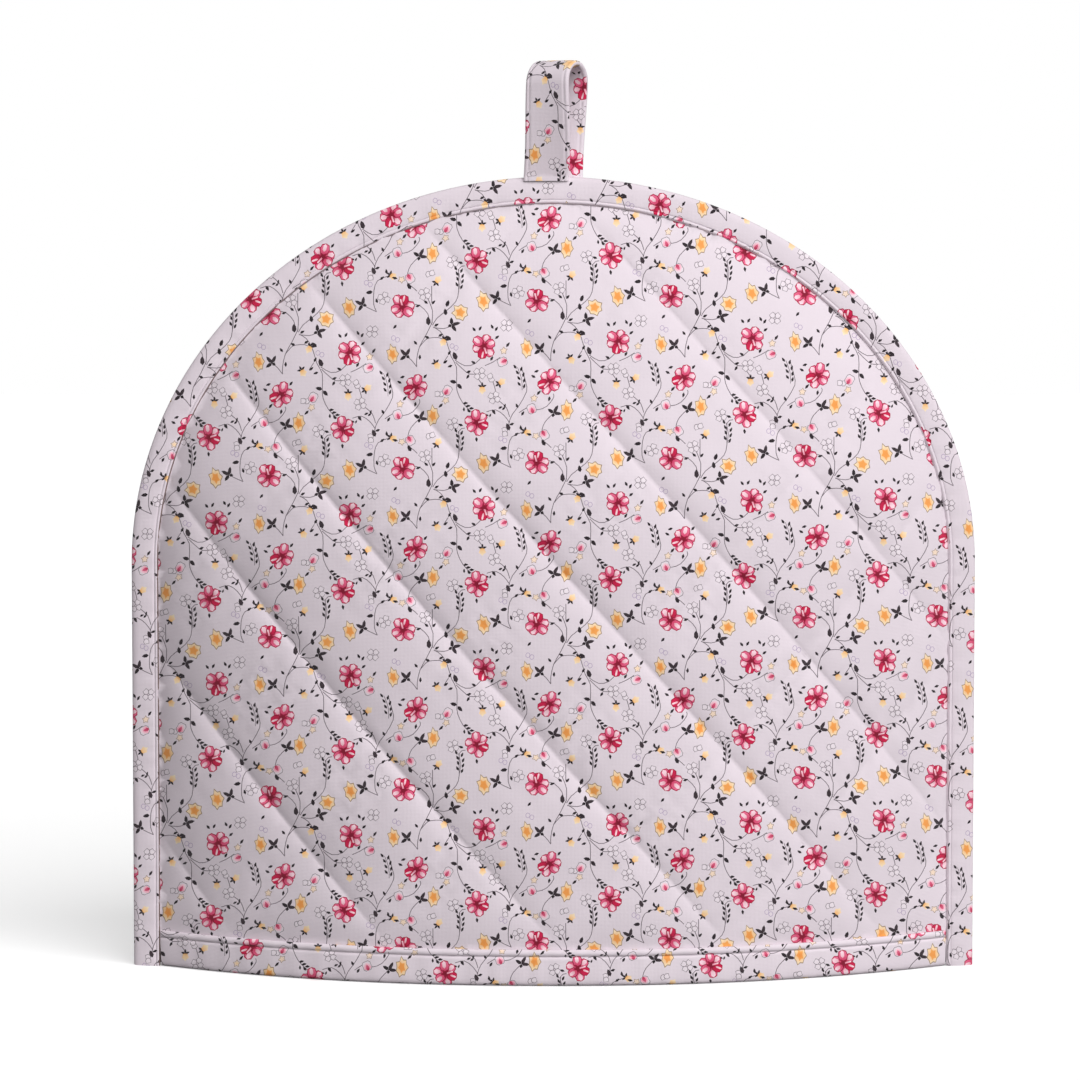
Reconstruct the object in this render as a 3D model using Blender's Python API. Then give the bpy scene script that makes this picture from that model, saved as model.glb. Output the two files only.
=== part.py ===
"""A quilted tea cosy: two panels, their bound hems, the binding that joins them, and a loop.

Metres, +Z up. The front panel faces -Y, and the origin lies on the surface under the middle.
The panels are worked out flat, as (along, z), where along is measured round the cloth from
the middle, and are then stood up, as (x, z) with a depth off the plane y = 0.
"""

import math

import bmesh
import bpy
import numpy as np
from mathutils import Vector

# The cosy as it stands
WIDTH = 0.330  # over the binding
SIDE_HEIGHT = 0.158  # the upright sides, below the dome
DOME_RISE = 0.151  # from there to the binding's top
BULGE = 0.048  # how far each panel stands off the middle plane at its hem
BULGE_POWER = 2.2  # how full that bulge is towards the seams
BULGE_LOSS = 0.4  # the share of it that the panel has lost at the top
GAP = 0.0003  # between two pieces that touch

# Panels
SEWN_THICK = 0.0026  # the quilted cloth where a seam presses it flat
OUTER_PUFF = 0.0046  # how far the wadding lifts the outer cloth
INNER_PUFF = 0.0012  # and the lining
SEAM_RISE_OVER = 0.005  # the puff is reached over about this distance from a seam
QUILT_ACROSS = 0.0658  # the stitched diamonds' width
QUILT_UP = 0.0725  # their height
QUILT_FOOT = 0.017  # the lowest crossing on the middle line
QUILT_DRAW = 0.62  # the share of the puff that a stitched line takes away
QUILT_SOFT = 0.0042  # how wide a stitched line's trough is to each side
QUILT_CUTS = (0.0, 0.1, 0.5, 0.9)  # where the mesh is cut, in line spacings
QUILT_LINES = range(-5, 10)  # the lines that cross a panel, counted up its middle
CUT_SNAP = 0.0012  # a cut this near a point goes through that point
PANEL_FIN = 0.0089  # the panel's edge inside the binding

# Binding
BINDING_WIDTH = 0.0108
CORNER_BULK = 0.016  # height below which the hem's layers thicken the seam
CORNER_FADE = 0.030  # height over which that dies out

# Hem
HEM_HEIGHT = 0.0142
HEM_PLY = 0.0010
HEM_FOLD = 0.0024  # depth of its closed lower edge

# Loop
LOOP_WIDTH = 0.0175
LOOP_THICK = 0.0024
LOOP_HEIGHT = 0.0447
LOOP_BEND = 0.0080  # radius of the bend at its top
LOOP_FOOT = 0.0021  # half the distance between its two feet
LOOP_SHIFT = 0.0029  # each foot's place left or right of the middle
LOOP_LEAN = 0.0018  # how far its top leans to the right
LOOP_TURN = math.radians(-28)  # how far its top is turned

# Colours, as a print of small flowers on pale cloth looks from far off
PANEL_COLOUR = (0.68, 0.57, 0.61)
TAPE_COLOUR = (0.66, 0.55, 0.59)

# Resolution
SIDE_STEPS = 7
DOME_STEPS = 44
HEM_STEPS = 34
LEG_STEPS = 7
BEND_STEPS = 8

HEIGHT = SIDE_HEIGHT + DOME_RISE
SEAM_HALF = WIDTH / 2 - BINDING_WIDTH
SEAM_RISE = DOME_RISE - BINDING_WIDTH
PANEL_FOOT = HEM_FOLD + GAP
HEM_ROOM = HEM_PLY + GAP  # the hem's inner ply lifts the panel by this much
SLOT = GAP / 2 + SEWN_THICK + GAP  # half the space for both panels inside the binding

# Sections, as rows of (out from the seam or up from the floor, depth)
BINDING_HALF = (  # the front half, from the lip round the ridge and groove to the fold
    (0.0006, SLOT),
    (0.0005, 0.0043),
    (0.0011, 0.0050),
    (0.0020, 0.0046),
    (0.0026, 0.0039),
    (0.0034, 0.0044),
    (0.0070, 0.0047),
    (0.0095, 0.0041),
    (0.0105, 0.0024),
    (BINDING_WIDTH, 0.0),
)
BINDING_SLOT_END = PANEL_FIN + GAP
HEM_SECTION = (  # from the inner lower corner, outwards and up, then down the slot
    (0.0, 0.0008),
    (0.0, 0.0044),
    (0.0008, 0.0052),
    (0.0102, 0.0052),
    (0.0113, 0.0045),
    (0.0130, 0.0059),
    (HEM_HEIGHT, 0.0050),
    (HEM_HEIGHT, HEM_ROOM + SEWN_THICK + GAP),
    (HEM_FOLD, HEM_ROOM + SEWN_THICK + GAP),
    (HEM_FOLD, HEM_PLY),
    (HEM_HEIGHT, HEM_PLY),
    (HEM_HEIGHT, 0.0),
    (0.0008, 0.0),
)


def radius(x, z):
    """How far out a point is: 0 on the middle, 1 on the seam."""
    return np.hypot(x / SEAM_HALF, np.maximum(z - SIDE_HEIGHT, 0) / SEAM_RISE)


def outward(x, z):
    """The unit normal, in the plane y = 0, of the seam nearest a point."""
    across = x / SEAM_HALF**2
    up = np.maximum(z - SIDE_HEIGHT, 0) / SEAM_RISE**2
    size = np.hypot(across, up)
    return across / size, up / size


def bulge(x, z):
    """How far the cloth stands off the middle plane."""
    full = BULGE * (1 - BULGE_LOSS * (z / HEIGHT) ** 2)
    return full * np.maximum(1 - radius(x, z) ** BULGE_POWER, 0)


def corner(z):
    """1 beside the hem's layers, 0 well above them."""
    share = np.clip((z - CORNER_BULK) / CORNER_FADE, 0, 1)
    return 0.5 + 0.5 * np.cos(math.pi * share)


def round_the_cloth(z, steps=120):
    """The places x across one level, and the distance round the cloth to each."""
    x = np.linspace(0, WIDTH / 2, steps)
    y = bulge(x, z)
    length = np.hypot(np.diff(x), np.diff(y)).cumsum()
    return x, np.concatenate([[0], length])


def laid_flat(x, z):
    places, along = round_the_cloth(z)
    return math.copysign(np.interp(abs(x), places, along), x)


def stood_up(along, z):
    places, lengths = round_the_cloth(z)
    return math.copysign(np.interp(abs(along), lengths, places), along)


def trough(place):
    """What a stitched line leaves of the puff, for a place counted in line spacings."""
    spacing = QUILT_ACROSS * QUILT_UP / math.hypot(QUILT_ACROSS, QUILT_UP)
    off_line = abs(place - round(place)) * spacing
    return 1 - QUILT_DRAW * math.exp(-off_line / QUILT_SOFT)


def puff(x, z):
    """How full the wadding is at a point, from 0 at a seam to 1."""
    size = radius(x, z)
    slope = np.hypot(x / SEAM_HALF**2, max(z - SIDE_HEIGHT, 0) / SEAM_RISE**2) / max(size, 1e-9)
    from_seam = (1 - size) / max(slope, 1e-9)
    from_hem = z - HEM_HEIGHT
    free = max(min(from_seam, from_hem), 0)
    across = laid_flat(x, z) / QUILT_ACROSS
    up = (z - QUILT_FOOT) / QUILT_UP
    full = 1 - math.exp(-free / SEAM_RISE_OVER)
    return full * trough(up + across) * trough(up - across)


def seam_line(steps_up, steps_over):
    """The seam's points (x, z), from the left side's foot over the dome to the right's."""
    side = np.linspace(0, SIDE_HEIGHT, steps_up, endpoint=False)
    turn = np.linspace(math.pi, 0, steps_over + 1)
    x = np.concatenate([-SEAM_HALF + 0 * side, SEAM_HALF * np.cos(turn), SEAM_HALF + 0 * side])
    z = np.concatenate([side, SIDE_HEIGHT + SEAM_RISE * np.sin(turn), side[::-1]])
    return x, z


def cloth(name, colour):
    material = bpy.data.materials.new(name)
    material.use_nodes = True
    shader = material.node_tree.nodes["Principled BSDF"]
    shader.inputs["Base Color"].default_value = (*colour, 1)
    shader.inputs["Roughness"].default_value = 0.9
    shader.inputs["Metallic"].default_value = 0
    return material


def add_object(name, mesh, material):
    mesh.materials.append(material)
    mesh.shade_smooth()
    mesh.set_sharp_from_angle(angle=math.radians(35))
    thing = bpy.data.objects.new(name, mesh)
    bpy.context.scene.collection.objects.link(thing)
    return thing


def mesh_from(shape, name):
    bmesh.ops.triangulate(shape, faces=shape.faces[:])
    bmesh.ops.recalc_face_normals(shape, faces=shape.faces[:])
    mesh = bpy.data.meshes.new(name)
    shape.to_mesh(mesh)
    shape.free()
    return mesh


def cut_along_quilting(shape):
    """Cuts the flat panel on each stitched line and beside it, both ways of the diamonds."""
    for side in (1, -1):
        normal = Vector((side / QUILT_ACROSS, 0, 1 / QUILT_UP)).normalized()
        for line in QUILT_LINES:
            for part in QUILT_CUTS:
                height = QUILT_FOOT + (line + part) * QUILT_UP
                bmesh.ops.bisect_plane(
                    shape,
                    geom=shape.verts[:] + shape.edges[:] + shape.faces[:],
                    dist=CUT_SNAP,
                    plane_co=(0, 0, height),
                    plane_no=normal,
                )


def flat_panel():
    """The part of a panel that shows, flat, cut into small faces."""
    x, z = seam_line(SIDE_STEPS, DOME_STEPS)
    z = np.maximum(z, HEM_HEIGHT)
    shape = bmesh.new()
    points = [shape.verts.new((laid_flat(px, pz), 0, pz)) for px, pz in zip(x, z)]
    shape.faces.new(points)
    cut_along_quilting(shape)
    return shape


def widen(shape, edges, place):
    """Adds a strip along open edges, whose far points are at place(x, z)."""
    made = bmesh.ops.extrude_edge_only(shape, edges=edges)["geom"]
    for vertex in made:
        if isinstance(vertex, bmesh.types.BMVert):
            vertex.co.x, vertex.co.z = place(vertex.co.x, vertex.co.z)


def into_binding(x, z):
    across, up = outward(x, z)
    return x + PANEL_FIN * across, z + PANEL_FIN * up


def into_hem(x, z):
    return x, PANEL_FOOT


def at_hem(edge):
    return all(vertex.co.z < HEM_HEIGHT + 1e-6 for vertex in edge.verts)


def panel(name, facing, material):
    """A quilted panel. It faces -Y where facing is -1."""
    shape = flat_panel()
    for vertex in shape.verts:
        vertex.co.x = stood_up(vertex.co.x, vertex.co.z)
    rim = [edge for edge in shape.edges if edge.is_boundary]
    widen(shape, [edge for edge in rim if not at_hem(edge)], into_binding)
    rim = [edge for edge in shape.edges if edge.is_boundary]
    widen(shape, [edge for edge in rim if at_hem(edge)], into_hem)
    outside = shape.verts[:]
    bmesh.ops.extrude_face_region(shape, geom=shape.faces[:], use_keep_orig=True)
    outside = set(outside)
    for vertex in shape.verts:
        x, z = vertex.co.x, vertex.co.z
        base = GAP / 2 + HEM_ROOM * corner(z) + bulge(x, z)
        full = puff(x, z)
        if vertex in outside:
            vertex.co.y = facing * (base + SEWN_THICK + OUTER_PUFF * full)
        else:
            vertex.co.y = facing * (base - INNER_PUFF * full)
    return add_object(name, mesh_from(shape, name), material)


def loft(name, rings, material):
    """A closed body through equal rings of points, with flat ends."""
    shape = bmesh.new()
    rows = [[shape.verts.new(point) for point in ring] for ring in rings]
    count = len(rows[0])
    for low, high in zip(rows, rows[1:]):
        for i in range(count):
            j = (i + 1) % count
            shape.faces.new((low[i], low[j], high[j], high[i]))
    shape.faces.new(rows[0])
    shape.faces.new(rows[-1])
    return add_object(name, mesh_from(shape, name), material)


def binding_section(z):
    """The binding's section at a height: rows of (out, depth), the front half first."""
    bulk = HEM_ROOM * corner(z)
    front = [(out, depth + bulk * (depth > 0)) for out, depth in BINDING_HALF]
    slot = [(BINDING_SLOT_END, SLOT + bulk)]
    back = [(out, -depth) for out, depth in front]
    slot_back = [(out, -depth) for out, depth in slot]
    return front + back[-2::-1] + slot_back + slot


def edge_binding(material):
    rings = []
    for x, z in zip(*seam_line(SIDE_STEPS, DOME_STEPS)):
        across, up = outward(x, z)
        section = binding_section(z)
        rings.append([(x + out * across, -depth, z + out * up) for out, depth in section])
    return loft("edge_binding", rings, material)


def hem(name, facing, material):
    """The tape folded over one panel's lower edge."""
    rings = []
    for along in np.linspace(-1, 1, HEM_STEPS + 1):
        x = along * (SEAM_HALF - GAP)
        ring = [(x, facing * (GAP / 2 + bulge(x, z) + depth), z) for z, depth in HEM_SECTION]
        rings.append(ring)
    return loft(name, rings, material)


def loop_line():
    """The loop's middle line: rows of (out from its own middle plane, height, rise, run)."""
    rows = []
    leg = LOOP_HEIGHT - LOOP_BEND - LOOP_THICK / 2
    for i in range(LEG_STEPS):
        share = i / LEG_STEPS
        swell = math.sin(share * math.pi / 2)
        rows.append((-LOOP_FOOT - (LOOP_BEND - LOOP_FOOT) * swell, leg * share, 1.0, 0.0))
    for turn in np.linspace(0, math.pi, BEND_STEPS + 1):
        out = -LOOP_BEND * math.cos(turn)
        rows.append((out, leg + LOOP_BEND * math.sin(turn), math.cos(turn), math.sin(turn)))
    rows += [(-out, height, -rise, run) for out, height, rise, run in rows[LEG_STEPS - 1 :: -1]]
    return rows


def hanging_loop(material):
    rings = []
    rows = loop_line()
    for i, (out, height, rise, run) in enumerate(rows):
        share = height / LOOP_HEIGHT
        turn = LOOP_TURN * share
        wide = Vector((math.cos(turn), math.sin(turn), 0))
        deep = Vector((-math.sin(turn), math.cos(turn), 0))
        shift = LOOP_SHIFT * (2 * i / (len(rows) - 1) - 1) + LOOP_LEAN * share
        middle = Vector((shift, 0, HEIGHT + GAP + height)) + deep * out
        face = deep * -rise + Vector((0, 0, run))
        ring = []
        for across, up in ((-1, -1), (-1, 1), (1, 1), (1, -1)):
            for soft in ((0.94, 1.0), (1.0, 0.6)) if across * up > 0 else ((1.0, 0.6), (0.94, 1.0)):
                offset = wide * (across * soft[0] * LOOP_WIDTH / 2)
                ring.append(middle + offset + face * (up * soft[1] * LOOP_THICK / 2))
        rings.append(ring)
    return loft("hanging_loop", rings, material)


for thing in list(bpy.data.objects):
    bpy.data.objects.remove(thing, do_unlink=True)

panel("front_panel", -1, cloth("front_cloth", PANEL_COLOUR))
panel("back_panel", 1, cloth("back_cloth", PANEL_COLOUR))
hem("front_hem", -1, cloth("front_tape", TAPE_COLOUR))
hem("back_hem", 1, cloth("back_tape", TAPE_COLOUR))
edge_binding(cloth("edge_tape", TAPE_COLOUR))
hanging_loop(cloth("loop_tape", TAPE_COLOUR))
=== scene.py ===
import math

import bmesh
import bpy
import numpy as np
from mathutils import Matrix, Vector
from mathutils.geometry import delaunay_2d_cdt


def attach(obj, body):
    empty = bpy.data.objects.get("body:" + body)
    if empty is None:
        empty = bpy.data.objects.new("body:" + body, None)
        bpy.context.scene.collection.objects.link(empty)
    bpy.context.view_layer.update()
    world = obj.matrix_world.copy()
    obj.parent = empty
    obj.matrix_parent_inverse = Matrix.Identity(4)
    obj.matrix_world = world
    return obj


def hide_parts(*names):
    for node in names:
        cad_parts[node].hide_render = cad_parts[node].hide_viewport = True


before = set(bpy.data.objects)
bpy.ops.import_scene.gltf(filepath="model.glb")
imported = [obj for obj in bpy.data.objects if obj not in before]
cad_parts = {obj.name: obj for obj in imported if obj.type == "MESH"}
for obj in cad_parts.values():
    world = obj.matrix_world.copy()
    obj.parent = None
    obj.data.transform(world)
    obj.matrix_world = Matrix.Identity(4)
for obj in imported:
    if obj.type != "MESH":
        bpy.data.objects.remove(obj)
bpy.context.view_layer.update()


# --- The studio --------------------------------------------------------------------------
# A pale seamless floor under a soft white sky. One big soft lamp stands at the right, in
# front and above. The camera looks at the front from a little above.

CAMERA_AIM = Vector((-0.0052, 0.0, 0.1673))
CAMERA_AWAY = 1.75
CAMERA_ABOVE = math.radians(4.0)
EYE = CAMERA_AIM + CAMERA_AWAY * Vector((0, -math.cos(CAMERA_ABOVE), math.sin(CAMERA_ABOVE)))
FRAME_WIDTH = 0.4225  # what the picture spans, at the cosy's middle plane
FILM = 36.0
FLOOR_SIZE = 12.0
KEY_LAMP = (28, 28, 3.25, 70)  # degrees right and above, strength, spread
WALL, ROOM = 1.0, 0.21  # the sky's strength at the white wall behind, and in the dim room
WALL_TOP = (0.25, 0.60)  # the heights over which the wall gives way to the room
WALL_END = (-0.15, 0.15)  # and the same along the camera's direction
WALL_FOOT = (-0.04, 0.0)  # below the floor the sky sheds no light, though it is seen white
FLOOR_WHITE, FLOOR_GLOW, FLOOR_ROUGH = 0.93, 0.34, 0.9


def dye(red, green, blue):
    """A colour given in 0-255 steps, as the linear values that a shader takes."""
    steps = np.array([red, green, blue]) / 255
    low = steps / 12.92
    high = ((steps + 0.055) / 1.055) ** 2.4
    return tuple(np.where(steps <= 0.04045, low, high))


def soft_lamp(name, right, above, strength, spread):
    """A far, wide lamp. It stands so many degrees right of the camera, and so many above."""
    data = bpy.data.lights.new(name, "SUN")
    data.energy, data.angle = strength, math.radians(spread)
    lamp = bpy.data.objects.new(name, data)
    lamp.rotation_euler = (math.radians(90 - above), 0, math.radians(right))
    bpy.context.scene.collection.objects.link(lamp)


def front_camera(scene):
    data = bpy.data.cameras.new("camera")
    data.sensor_width, data.lens = FILM, FILM * CAMERA_AWAY / FRAME_WIDTH
    camera = bpy.data.objects.new("camera", data)
    camera.location = EYE
    camera.rotation_euler = (CAMERA_AIM - EYE).to_track_quat("-Z", "Y").to_euler()
    scene.collection.objects.link(camera)
    scene.camera = camera


def soft_sky(scene):
    """A sky that sheds light from the wall behind and the room, and is itself seen white."""
    world = bpy.data.worlds.new("sky")
    world.use_nodes = True
    scene.world = world
    tree = world.node_tree
    place = tree.nodes.new("ShaderNodeTexCoord")
    split = tree.nodes.new("ShaderNodeSeparateXYZ")
    tree.links.new(place.outputs["Generated"], split.inputs[0])
    fades = (
        ("Z", *WALL_TOP, WALL, ROOM), ("Y", *WALL_END, ROOM, WALL), ("Z", *WALL_FOOT, 0.0, WALL),
    )
    path = tree.nodes.new("ShaderNodeLightPath")
    most = tree.nodes.new("ShaderNodeMath")
    most.operation = "MAXIMUM"
    tree.links.new(path.outputs["Is Camera Ray"], most.inputs[0])
    tree.links.new(most.outputs[0], tree.nodes["Background"].inputs["Strength"])
    strength = most.inputs[1]
    for axis, *values in fades:
        fade = tree.nodes.new("ShaderNodeMapRange")
        fade.interpolation_type = "SMOOTHSTEP"
        for socket, value in zip(fade.inputs[1:5], values):
            socket.default_value = value
        tree.links.new(split.outputs[axis], fade.inputs[0])
        least = tree.nodes.new("ShaderNodeMath")
        least.operation = "MINIMUM"
        least.inputs[1].default_value = WALL
        tree.links.new(fade.outputs[0], least.inputs[0])
        tree.links.new(least.outputs[0], strength)
        strength = least.inputs[1]
    tree.nodes["Background"].inputs["Color"].default_value = (1, 1, 1, 1)


def pale_floor(scene):
    half = FLOOR_SIZE / 2
    sheet = bpy.data.meshes.new("floor")
    corners = [(-half, -half, 0), (half, -half, 0), (half, half, 0), (-half, half, 0)]
    sheet.from_pydata(corners, [], [(0, 1, 2, 3)])
    paint = bpy.data.materials.new("pale_floor")
    paint.use_nodes = True
    shader = paint.node_tree.nodes["Principled BSDF"]
    shader.inputs["Base Color"].default_value = (FLOOR_WHITE, FLOOR_WHITE, FLOOR_WHITE, 1)
    shader.inputs["Roughness"].default_value = FLOOR_ROUGH
    shader.inputs["Emission Color"].default_value = (1, 1, 1, 1)
    shader.inputs["Emission Strength"].default_value = FLOOR_GLOW
    sheet.materials.append(paint)
    floor = bpy.data.objects.new("floor", sheet)
    floor.visible_diffuse = False  # the lamps alone light the cosy
    scene.collection.objects.link(floor)


bpy.context.scene.view_settings.view_transform = "Standard"
front_camera(bpy.context.scene)
soft_lamp("key_lamp", *KEY_LAMP)
soft_sky(bpy.context.scene)
pale_floor(bpy.context.scene)


# --- Front panel -------------------------------------------------------------------------
# Cotton printed with small flowers on thin stems, stitched in diamonds through wadding to a
# plain lining. It bulges over the pot, and every stitched line draws it into a soft crease.

WIDTH, SIDE_HEIGHT, DOME_RISE = 0.330, 0.158, 0.151
HEIGHT = SIDE_HEIGHT + DOME_RISE
BULGE, BULGE_POWER, BULGE_LOSS = 0.048, 2.2, 0.4
GAP = 0.0003
BINDING_WIDTH = 0.0108
SEAM_HALF, SEAM_RISE = WIDTH / 2 - BINDING_WIDTH, DOME_RISE - BINDING_WIDTH
HEM_HEIGHT, HEM_PLY, HEM_FOLD = 0.0142, 0.0010, 0.0024
HEM_ROOM = HEM_PLY + GAP
CORNER_BULK, CORNER_FADE = 0.016, 0.030

SEWN_THICK = 0.0026
OUTER_PUFF, INNER_PUFF = 0.0048, 0.0012
QUILT_ACROSS, QUILT_UP, QUILT_FOOT = 0.0658, 0.0725, 0.017
LINE_SPACING = QUILT_ACROSS * QUILT_UP / math.hypot(QUILT_ACROSS, QUILT_UP)
FIRST_SHARE, SECOND_SHARE, CREASE_WIDE, CREASE_ROUND = 0.48, 0.24, 0.0060, 0.0005
NOTCH_SHARE, NOTCH_WIDE = 0.080, 0.0009  # the thread itself sinks a little deeper
SEAM_DRAW, HEM_DRAW = 0.0080, 0.020  # the puff is reached over about these distances
PUCKER_DEEP, PUCKER_LONG, PUCKER_REACH = 0.000297, 0.0105, 0.007
PUCKER_STEP = 2.4  # how far the puckers' phase moves from one stitched line to the next
SWELL_DEEP = 0.00035
SWELLS = ((31, 47, 1.0), (-29, 53, 2.0), (97, -71, 0.0))  # turns across and up, and a phase

TUCK = 0.003  # how far the printed face runs on under the binding
TIP_OUT = 0.0089  # where the panel's edge ends, inside the binding
HEM_TUCK = 0.0045
PRINT_DEPTH = 0.0055  # how far the printed face stands off its panel's middle plane
STEP, ROW_SHARE = 0.0043, 0.87  # the mesh between the printed shapes: its step, and its rows'
QUILT_STEPS = (0.0040, 0.0064)  # and the step along the two sets of stitched lines
BESIDE, SHOULDER = 0.017, 0.050  # the places of more rows beside a line, in diamonds
LINING_STEP = 0.0090

# The print, charted on squares, counted rightwards and down from one corner of the repeat
SQUARE = 0.0006006
REPEAT = (87.1, 105.2)
CHART_CORNER = (-0.0681, 0.1926)
DRIFT, DRIFT_LOSS = 0.0353, 0.243  # the rows climb to the right, and less so further right

CLOTH = dye(226, 214, 222)
PLAIN_CLOTH = dye(224, 216, 219)
LINE_GREY = dye(126, 115, 122)
STEM_GREY = dye(100, 90, 97)
LEAF_DARK, LEAF_LIT = dye(38, 29, 35), dye(66, 54, 60)
CRIMSON, CRIMSON_LIT, CRIMSON_DARK = dye(172, 16, 58), dye(208, 26, 76), dye(110, 4, 36)
PETAL, PETAL_DEEP, PETAL_PALE = dye(232, 108, 144), dye(200, 34, 84), dye(253, 218, 228)
AMBER_DEEP, AMBER = dye(238, 142, 66), dye(246, 178, 98)
AMBER_PALE, CREAM = dye(250, 208, 142), dye(252, 238, 208)
TAN_LINE = dye(158, 132, 106)
AMBER_TIPS = np.array(
    [1.14, 0.84, 1.02, 0.80, 1.20, 0.76, 1.16, 0.84, 1.0, 0.86, 1.10, 0.82, 1.04, 0.86]
)
LILAC_LINE = dye(172, 152, 184)
WHITE_PETAL = dye(238, 228, 234)

RED_FLOWERS = ((23.9, 44.2, 12), (68.4, 19.4, 75), (63.7, 68.8, 160), (15.5, 96.5, 250))
AMBER_FLOWERS = (
    (9, 22, 7.5, 12.5, 4), (35, 63.2, 8, 13, -6), (53, 102, 10, 11, 30), (68, 95.5, 8.5, 13, 8),
)
TRIPLE_LEAVES = ((17.8, 23.2, -50), (26.5, 64.5, -120), (47.5, 4.5, 190), (76.8, 94, -30))
AMBER_BUDS = (
    (42, 15.5, 60), (38, 30.5, 120), (67.2, 47.5, 90),
    (79.8, 43, 215), (96.5, 76.5, 150), (38.5, 80.3, 235),
)
PINK_BUDS = ((44.5, 47, 60), (80.3, 30, 200), (12.2, 61.2, 110), (20.5, 78.5, 300))
STARS = ((81.2, 22.8, 55), (13.8, 54.5, 50), (43.5, 53.5, 225), (15, 79, 165))
BLOSSOMS = (
    (83, 6.5, 4), (65.5, 37, 4), (73.5, 41, 2), (75, 53, 4), (48, 69, 4),
    (3.5, 90.5, 4), (30, 89, 4), (40.5, 49, 2), (32.5, 76.5, 2), (81.5, 74.5, 2),
)
LILAC_RINGS = ((11, 12), (49, 19), (80.5, 80.5))
SPRAYS = (((6, 49), (3, 34), 8), ((52, 88), (51.5, 74), 8))
LEAVES = (
    (50.5, 42.2, 163, 4), (51, 43, -49, 4), (3.5, 60.5, 120, 3), (5.5, 65.5, 60, 3),
    (44, 98, 70, 4), (43.8, 103.5, 100, 4), (84.9, 74.8, 112, 4.5), (88, 70.2, 200, 3),
    (32.5, 109.5, 95, 5), (36, 110.3, 30, 3), (25, 16.5, 130, 3), (47, 14.5, 140, 4),
    (83.4, 85.9, 187, 4), (86.5, 93.5, 110, 3), (33, 12.5, 160, 3), (38.7, 11.8, 30, 3),
    (45, 24.2, 60, 3), (42, 29.5, 40, 3), (50.5, 27.5, 110, 5), (48, 30.8, 200, 3),
    (63, 30.5, 150, 3), (64.5, 26.2, 60, 3), (60, 35, 200, 3), (58.8, 37.2, 240, 3),
    (72.5, 29, 60, 3), (26.7, 26.3, 90, 3), (77.6, 60.2, 25, 2.6),
    (81.5, 59.8, 75, 2.4), (71.4, 64.9, 150, 2.2), (71.9, 65.6, 70, 2.2),
    (74.5, 8.5, 120, 3), (75.5, 10, 60, 3),
    (63, 9.5, 130, 3), (65, 9.2, 60, 3), (75.5, 15, 40, 3), (14.8, 41.2, 150, 3),
    (29, 38.5, 50, 3), (24, 53.5, 260, 3), (54.8, 70.5, 160, 3), (73.6, 60.6, -55, 3.5),
    (63.2, 78, 280, 3), (11.8, 108, 230, 3), (24, 97, 20, 3),
    (21, 85.5, 120, 4), (80, 61.2, 40, 2.6), (88, 78.5, 40, 3), (92.5, 75, 100, 3),
    (32, 95.5, 140, 3), (34.5, 96, 50, 3), (17, 36.5, 200, 3),
    (54.6, 55.9, 5, 3), (56.3, 57.8, 5, 3), (58.5, 59.3, 0, 3), (55.4, 61.3, 95, 2.6),
    (59.5, 62.2, 130, 3),
)
STEMS = (
    (
        (35.5, 5.5), (40, 8.5), (44, 15), (47, 25), (50.5, 32),
        (50.5, 42), (51, 48), (54.5, 55.5), (60, 61.5),
    ),
    ((49.5, 27.5), (56, 31.5), (62.5, 30.5), (68, 25)),
    ((50, 29), (54.5, 33.5), (59, 37), (64, 37)),
    ((69, 32), (74, 30), (79, 27)),
    ((64, 39.5), (67.2, 44)),
    ((85.7, 98.5), (84, 94), (84.2, 85), (86.5, 79), (92.5, 76.5), (96, 76)),
    ((85, 74), (84.5, 70), (87, 64), (91, 59), (96, 50), (95.5, 44), (93, 35)),
    ((85, 70), (81.5, 65), (76, 61), (70, 62)),
    ((85, 66), (83, 60), (79, 56), (77, 54), (75.5, 47), (74, 42)),
    ((4, 63.5), (9, 60.5), (12, 60), (16, 62), (22, 60), (26.5, 54.5), (26.2, 52)),
    ((26, 65), (21, 70), (19, 75), (19, 81), (23, 85), (25, 87)),
    ((34.5, 95), (34.5, 84)),
    ((32, 92), (35, 100), (34.5, 109)),
    ((35, 109.5), (38, 105), (44, 100.5), (50, 95), (52, 88), (52, 74), (56, 72)),
    ((33, 108), (32, 102), (27, 96.5), (21.5, 95)),
    ((35.5, 111), (42, 112), (46, 111)),
    ((35, 2), (31, 10), (26.5, 18), (24.7, 26), (24.7, 30.8)),
    ((26.5, 18), (30, 14), (33, 12.5), (39, 12.5), (42, 14)),
    ((45, 24.5), (42, 29)),
    ((76.8, 94), (81, 96.5), (86, 99)),
    ((17.8, 23.2), (21.5, 26.5), (24.7, 30.8)),
)


def spun(points, turn, at):
    """Flat points turned by an angle in degrees, then moved."""
    cos, sin = math.cos(math.radians(turn)), math.sin(math.radians(turn))
    return np.asarray(points) @ np.array([[cos, sin], [-sin, cos]]) + at


def rounded(count, wide, tall, jag=0.0, lobes=1):
    """A closed outline round the origin. Each lobe's last point is drawn in by the share jag."""
    angle = np.arange(count) * 2 * math.pi / count
    inward = 1 - jag * (np.arange(count) % lobes == 0)
    return np.stack([wide / 2 * np.cos(angle) * inward, tall / 2 * np.sin(angle) * inward], 1)


def lens(long, wide):
    """A leaf's outline from its foot at the origin along x."""
    along, across = [0, 0.28, 0.70, 1, 0.70, 0.28], [0, -0.5, -0.42, 0, 0.42, 0.5]
    if long < 4.2:
        along, across = [0, 0.36, 0.80, 1, 0.46], [0, -0.5, -0.34, 0, 0.5]
    return np.stack([along, across], 1) * (long, wide)


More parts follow.
